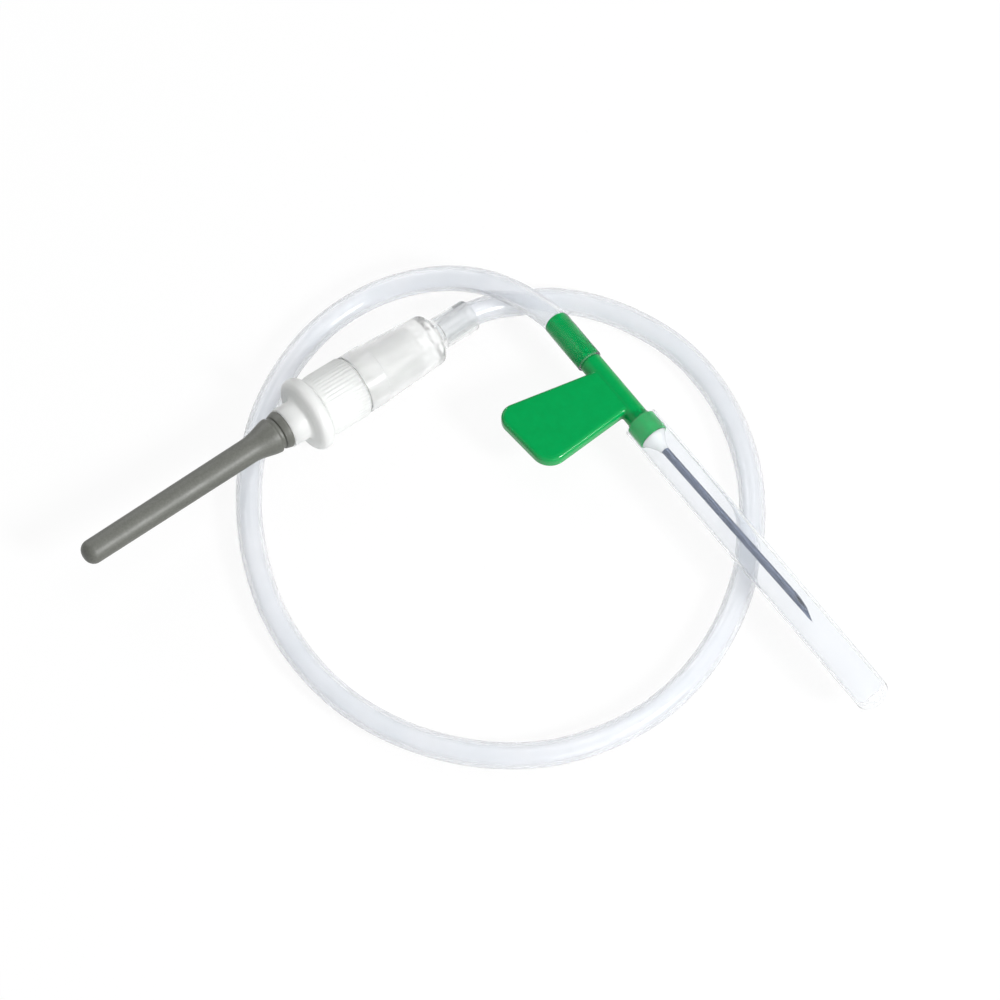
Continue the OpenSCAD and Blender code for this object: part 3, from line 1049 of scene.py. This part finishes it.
@dataclass
class WingHub(Assembly):
    """The green moulding: spigot, shaft with one paddle wing, and the plug that carries the guard."""

    spigot_r: float = 0.975
    spigot_len: float = 6.4
    shaft_r: float = 1.25
    shaft_len: float = 9.0
    plug_r: float = 1.62
    plug_len: float = 2.4
    channel_r: float = 0.65
    needle_r: float = 0.415
    needle_held: float = 7.0
    thickness: float = 1.6
    top: float = 1.1
    back: float = 1.7
    root_len: float = 5.7
    back_span: float = 12.1
    front_span: float = 11.7
    sweep: float = 2.1
    tip_len: float = 8.4
    back_r: float = 1.6
    front_r: float = 2.2
    edge: float = 0.45
    root_more: float = 0.1
    corner_steps: int = 72
    overlap: float = 0.3
    spigot_tip: float = 0.3
    spigot_step: float = 0.2
    core_inset: float = 0.15
    plug_edge: float = 0.12
    voxel: float = 0.085
    softening: int = 6

    def build(self) -> list[Piece]:
        """Makes the hub as one moulding with soft fillets where the wing meets the shaft."""
        blank = self.wing_blank()
        shaft = MeshBench.lathe(self.shaft_profile())
        shaft_data = bpy.data.meshes.new("shaft_blank")
        shaft.to_mesh(shaft_data)
        shaft.free()
        blank.from_mesh(shaft_data)
        bpy.data.meshes.remove(shaft_data)
        data = bpy.data.meshes.new("hub_blank")
        blank.to_mesh(data)
        blank.free()
        raw = bpy.data.objects.new("hub_blank", data)
        bpy.context.scene.collection.objects.link(raw)
        remesh = raw.modifiers.new("one_skin", "REMESH")
        remesh.mode = "VOXEL"
        remesh.voxel_size = self.voxel
        soften = raw.modifiers.new("soften", "SMOOTH")
        soften.factor = 0.5
        soften.iterations = self.softening
        body = MeshBench.place(MeshBench.baked(raw), "wing_and_shaft", HUB.matrix(), crease=None)
        self.dress(body, self.rack.green, Body.SET, Slot.GREEN, "wing_hub")
        ends = MeshBench.place(MeshBench.lathe(self.ends_profile()), "hub_spigot_and_plug", HUB.matrix())
        self.dress(ends, self.rack.green, Body.SET, Slot.GREEN)
        log.info("wing_and_shaft: %d faces", len(body.data.polygons))
        log.info("hub_spigot_and_plug: %d faces", len(ends.data.polygons))
        return [body, ends]

    def shaft_profile(self) -> list[Pair]:
        """Returns the solid shaft's profile between the tube's end and the plug."""
        start, end = self.spigot_len, self.spigot_len + self.shaft_len + self.overlap
        return [(0.0, start), (self.shaft_r, start), (self.shaft_r, end), (0.0, end)]

    def ends_profile(self) -> list[Pair]:
        """Returns the profile of the spigot and the plug, joined by a core inside the shaft."""
        plug = self.spigot_len + self.shaft_len
        end = plug + self.plug_len
        needle = end - self.needle_held
        core = self.shaft_r - self.core_inset
        tip, step, edge = self.spigot_tip, self.spigot_step, self.plug_edge
        profile = [(self.channel_r, 0.0), *arc((self.spigot_r - tip, tip), tip, -60, 0, 6)]
        profile += [(self.spigot_r, self.spigot_len + step), (core, self.spigot_len + 2 * step), (core, plug)]
        profile += arc((self.plug_r - edge, plug + edge), edge, -90, 0, 4)
        profile += arc((self.plug_r - edge, end - edge), edge, 0, 90, 4)
        profile += [(self.needle_r, end), (self.needle_r, needle), (self.channel_r, needle)]
        return profile

    def wing_blank(self) -> Mesh:
        """Returns the wing as the hull of four discs with rounded edges."""
        root = self.spigot_len + self.back
        tip = root - self.sweep
        root_r = self.edge + self.root_more
        root_w = root_r - self.shaft_r / 3
        corners = (
            (root + root_r, root_w, root_r),
            (root + self.root_len - root_r, root_w, root_r),
            (tip + self.back_r, self.back_span - self.back_r, self.back_r),
            (tip + self.tip_len - self.front_r, self.front_span - self.front_r, self.front_r),
        )
        mesh = bmesh.new()
        for along, out, radius in corners:
            for tilt in range(0, 91, 15):
                ring = radius - self.edge * (1 - math.sin(math.radians(tilt)))
                drop = self.edge * (1 - math.cos(math.radians(tilt)))
                for z in (self.top - drop, self.top - self.thickness + drop):
                    for k in range(self.corner_steps):
                        angle = 2 * math.pi * k / self.corner_steps
                        mesh.verts.new((along + ring * math.cos(angle), -out + ring * math.sin(angle), z))
        bmesh.ops.convex_hull(mesh, input=mesh.verts)
        loose = [v for v in mesh.verts if not v.link_faces]
        bmesh.ops.delete(mesh, geom=loose, context="VERTS")
        bmesh.ops.recalc_face_normals(mesh, faces=mesh.faces)
        return mesh


@dataclass
class FrontNeedle(Assembly):
    """The front needle, ground to a lancet point, and the small cone of bond that it stands in."""

    plug_end: float = 17.8
    bond_len: float = 1.9
    bond_r: float = 1.45
    bond_lip: float = 0.06
    bond_curve: float = 1.6
    bond_steps: int = 20
    needle_r: float = 0.41
    bore_r: float = 0.255
    held: float = 7.0
    reach: float = 26.4
    grind_shift: float = 0.25
    bevel: float = 11.5
    side_grind: float = 19.0
    side_roll: float = 38.0
    face_roll: float = -35.0
    lean: float = 1.2
    sides: int = 64

    def end_of(self, angle: float, radius: float) -> float:
        """Returns how far a line of the cannula's wall runs before the three grinds cut it.

        Args:
            angle: Angle round the needle; the bevel faces 90 degrees.
            radius: Distance from the needle's line.

        Returns:
            Length from the plug's face.
        """
        grinds = ((0, self.bevel), (-self.side_roll, self.side_grind), (self.side_roll, self.side_grind))
        ends = []
        for roll, slope in grinds:
            height = self.needle_r + radius * math.sin(math.radians(angle + roll))
            ends.append(self.reach + self.grind_shift - height / math.tan(math.radians(slope)))
        return min(ends)

    def cannula(self) -> Mesh:
        """Returns the hollow ground needle, from inside the hub to its point."""
        mesh = bmesh.new()
        rings: list[list[Vert]] = []
        wall, bore = self.needle_r, self.bore_r
        for radius, ground in ((wall, False), (wall, True), (bore, True), (bore, False)):
            ring = []
            for k in range(self.sides):
                angle = 360 * k / self.sides
                place = self.end_of(angle, radius) if ground else -self.held
                turn = math.radians(angle + self.face_roll)
                ring.append(mesh.verts.new((place, radius * math.cos(turn), radius * math.sin(turn))))
            rings.append(ring)
        MeshBench.skin(mesh, rings)
        return mesh

    def build(self) -> list[Piece]:
        """Makes the needle and its bond."""
        place = HUB.leaning(self.plug_end, self.lean)
        needle = MeshBench.place(self.cannula(), "ground_needle", place, crease=12.0)
        self.dress(needle, self.rack.shaded_front_steel, Body.SET, Slot.STEEL, "needle_cannula")
        log.info("ground_needle: %d faces", len(needle.data.polygons))
        waist = self.needle_r + self.bond_lip
        profile = [(self.needle_r, self.plug_end)]
        for i in range(self.bond_steps + 1):
            t = i / self.bond_steps
            flare = (self.bond_r - waist) * (1 - t) ** self.bond_curve
            profile.append((waist + flare, self.plug_end + self.bond_len * t))
        profile.append((self.needle_r, self.plug_end + self.bond_len))
        bond = MeshBench.place(MeshBench.lathe(profile, segments=64), "bond_cone", HUB.matrix(), crease=60.0)
        self.dress(bond, self.rack.bond, Body.SET, Slot.BOND, "needle_bond")
        log.info("bond_cone: %d faces", len(bond.data.polygons))
        return [needle, bond]


@dataclass
class NeedleGuard(Assembly):
    """The clear, closed-ended guard that is pushed on the hub's plug."""

    start: float = 15.4
    length: float = 39.9
    mouth_r: float = 1.95
    end_r: float = 1.83
    wall: float = 0.28
    lip: float = 0.12
    end_round: float = 1.2
    end_wall: float = 0.8

    def build(self) -> list[Piece]:
        """Makes the guard."""
        end = self.start + self.length
        inner_r, inner_round = self.end_r - self.wall, self.end_round - self.wall
        inner_end = end - self.end_wall
        profile = arc((self.mouth_r - self.lip, self.start + self.lip), self.lip, -90, 0, 5)
        profile += arc((self.end_r - self.end_round, end - self.end_round), self.end_round, 0, 90, 16)
        profile += [(0.0, end), (0.0, inner_end)]
        profile += arc((inner_r - inner_round, inner_end - inner_round), inner_round, 90, 0, 12)
        profile += [(self.mouth_r - self.wall, self.start + self.lip)]
        profile += [(self.mouth_r - self.wall + self.lip / 2, self.start)]
        guard = MeshBench.place(MeshBench.lathe(profile, segments=128), "clear_guard", HUB.matrix())
        self.dress(guard, self.rack.guard, Body.SHEATH, Slot.GUARD, "needle_sheath")
        log.info("clear_guard: %d faces", len(guard.data.polygons))
        return [guard]


# ---------------------------------------------------------------- studio


@dataclass(frozen=True)
class StudioCamera:
    """A camera above the front edge of the set.

    Args:
        aim: The point that it looks at, in millimetres.
        elevation: Its height angle in degrees.
        distance: Distance from the aim in millimetres.
        lens: Focal length in millimetres.
        sensor: Width of the sensor in millimetres.
        clip: Nearest and furthest distance seen, in metres.
    """

    aim: Point = (1.92, 1.56, 0.0)
    elevation: float = 62.0
    distance: float = 380.0
    lens: float = 130.0
    sensor: float = 36.0
    clip: Pair = (0.01, 20.0)

    def build(self) -> None:
        """Makes the camera and makes it the scene's own."""
        lens = bpy.data.cameras.new("studio_camera")
        lens.lens = self.lens
        lens.sensor_width = self.sensor
        lens.clip_start, lens.clip_end = self.clip
        camera = bpy.data.objects.new("studio_camera", lens)
        tilt = math.radians(self.elevation)
        back = Vector((0, -math.cos(tilt), math.sin(tilt))) * self.distance
        camera.location = (Vector(self.aim) + back) * MM
        camera.rotation_euler = (math.radians(90 - self.elevation), 0, 0)
        bpy.context.scene.collection.objects.link(camera)
        bpy.context.scene.camera = camera


@dataclass(frozen=True)
class SoftBox:
    """A square soft light that looks at the set's middle.

    Args:
        name: Name of the light.
        towards: Direction from the set to the light.
        distance: Distance in metres.
        size: Width in metres.
        watts: Power.
    """

    name: str
    towards: Point
    distance: float
    size: float
    watts: float

    def build(self) -> None:
        """Makes the light."""
        lamp = bpy.data.lights.new(self.name, "AREA")
        lamp.size = self.size
        lamp.energy = self.watts
        light = bpy.data.objects.new(self.name, lamp)
        way = Vector(self.towards).normalized()
        light.location = way * self.distance
        light.rotation_euler = way.to_track_quat("Z", "Y").to_euler()
        bpy.context.scene.collection.objects.link(light)


@dataclass
class Studio:
    """Pale floor, plain surroundings and soft boxes."""

    ambient: float = 0.25
    floor_size: float = 6.0
    floor_paint: float = 0.92
    floor_glow: float = 0.92
    boxes: tuple[SoftBox, ...] = (
        SoftBox("key_box", (0.67, -0.46, 0.58), 0.5, 0.1, 2.35),
        SoftBox("top_box", (0.3, 0.2, 0.92), 0.6, 0.4, 0.8),
        SoftBox("front_box", (0.5, -0.8, 0.3), 0.7, 0.4, 0.8),
        SoftBox("back_box", (-0.5, 0.65, 0.55), 0.6, 0.35, 1.0),
    )

    def build(self) -> None:
        """Makes the floor, the world and the lights."""
        self._floor()
        self._world()
        for box in self.boxes:
            box.build()
        bpy.context.scene.view_settings.view_transform = "Standard"

    @staticmethod
    def _seen(tree: bpy.types.NodeTree) -> Socket:
        """Returns 1 for the rays that show the background: camera, glossy and transmitted ones."""
        path = tree.nodes.new("ShaderNodeLightPath")
        seen = path.outputs["Is Camera Ray"]
        for kind in ("Is Glossy Ray", "Is Transmission Ray"):
            either = tree.nodes.new("ShaderNodeMath")
            either.operation = "MAXIMUM"
            tree.links.new(seen, either.inputs[0])
            tree.links.new(path.outputs[kind], either.inputs[1])
            seen = either.outputs[0]
        return seen

    @staticmethod
    def _mix(tree: bpy.types.NodeTree, output: str, share: Socket, *shaders: bpy.types.Node) -> None:
        """Mixes two shaders onto a new output.

        Args:
            tree: The node tree.
            output: Kind of the output node.
            share: How much of the second shader there is.
            shaders: The two shaders.
        """
        mix = tree.nodes.new("ShaderNodeMixShader")
        tree.links.new(share, mix.inputs["Fac"])
        for place, shader in enumerate(shaders, 1):
            tree.links.new(shader.outputs[0], mix.inputs[place])
        tree.links.new(mix.outputs[0], tree.nodes.new(output).inputs["Surface"])

    def _floor(self) -> None:
        """Makes the floor: white where it is seen, with the set's faint shadow."""
        half = self.floor_size / 2
        corners = [(-half, -half, 0), (half, -half, 0), (half, half, 0), (-half, half, 0)]
        data = bpy.data.meshes.new("studio_floor")
        data.from_pydata(corners, [], [(0, 1, 2, 3)])
        floor = bpy.data.objects.new("studio_floor", data)
        bpy.context.scene.collection.objects.link(floor)
        material = bpy.data.materials.new("studio_floor")
        material.use_nodes = True
        tree = material.node_tree
        tree.nodes.clear()
        paint = tree.nodes.new("ShaderNodeBsdfDiffuse")
        paint.inputs["Color"].default_value = (*[self.floor_paint] * 3, 1)
        glow = tree.nodes.new("ShaderNodeEmission")
        share = tree.nodes.new("ShaderNodeMath")
        share.operation = "MULTIPLY"
        share.inputs[1].default_value = self.floor_glow
        tree.links.new(self._seen(tree), share.inputs[0])
        self._mix(tree, "ShaderNodeOutputMaterial", share.outputs[0], paint, glow)
        data.materials.append(material)

    def _world(self) -> None:
        """Makes the surroundings: white where they are seen, dimmer as a light."""
        world = bpy.data.worlds.new("studio_world")
        bpy.context.scene.world = world
        world.use_nodes = True
        tree = world.node_tree
        tree.nodes.clear()
        glows = []
        for strength in (self.ambient, 1.0):
            glow = tree.nodes.new("ShaderNodeBackground")
            glow.inputs["Color"].default_value = (1, 1, 1, 1)
            glow.inputs["Strength"].default_value = strength
            glows.append(glow)
        self._mix(tree, "ShaderNodeOutputWorld", self._seen(tree), *glows)


def main() -> None:
    """Builds the camera, the tube, the other pieces and the studio."""
    logging.basicConfig(level=logging.INFO, format="%(name)s %(message)s")
    StudioCamera().build()
    rack = FinishRack()
    kinds = (TubeLoop, ClearConnector, HolderAdapter, RearNeedle, WingHub, FrontNeedle, NeedleGuard)
    pieces = [piece for kind in kinds for piece in kind(rack).build()]
    Studio().build()
    log.info("%d pieces dressed", len(pieces))


if __name__ == "__main__":
    main()
